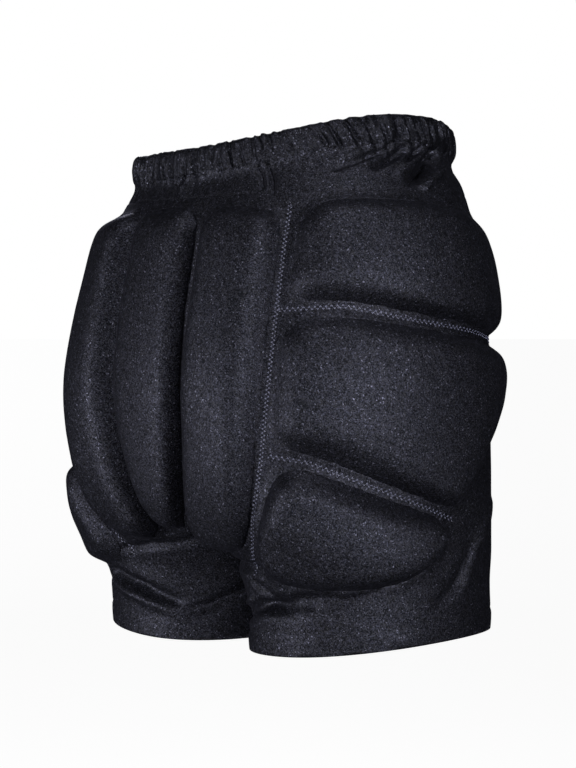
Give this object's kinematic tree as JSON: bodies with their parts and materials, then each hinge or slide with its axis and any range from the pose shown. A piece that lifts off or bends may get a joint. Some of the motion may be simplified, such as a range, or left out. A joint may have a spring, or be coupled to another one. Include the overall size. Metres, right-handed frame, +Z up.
{
  "type": "hip pad",
  "caption": "Padded sports shorts shown as worn: gathered elastic waist, two short legs, and thick foam pads over the tailbone, seat, hips and thighs that soften a fall.",
  "frame": {"origin": "middle of the waist opening, half way up the waistband", "axes": "+Z up out of the waist; the wearer faces -Y, so the seat is towards +Y; +X is the wearer's left"},
  "size_m": [0.3718, 0.2624, 0.3965],
  "materials": {
    "lycra": "shiny stretch knit",
    "padded_lycra": "shiny stretch knit drawn over foam",
    "elastic_casing": "gathered stretch knit"
  },
  "bodies": {
    "root": {"body_left": "lycra", "body_right": "lycra", "leg_hem_left": "lycra", "leg_hem_right": "lycra", "waistband": "elastic_casing", "tailbone_pad": "padded_lycra", "seat_pad_left": "padded_lycra", "seat_pad_right": "padded_lycra", "hip_pad_left": "padded_lycra", "hip_pad_right": "padded_lycra", "side_pad_left": "padded_lycra", "side_pad_right": "padded_lycra", "thigh_pad_left": "padded_lycra", "thigh_pad_right": "padded_lycra"}
  },
  "joints": []
}
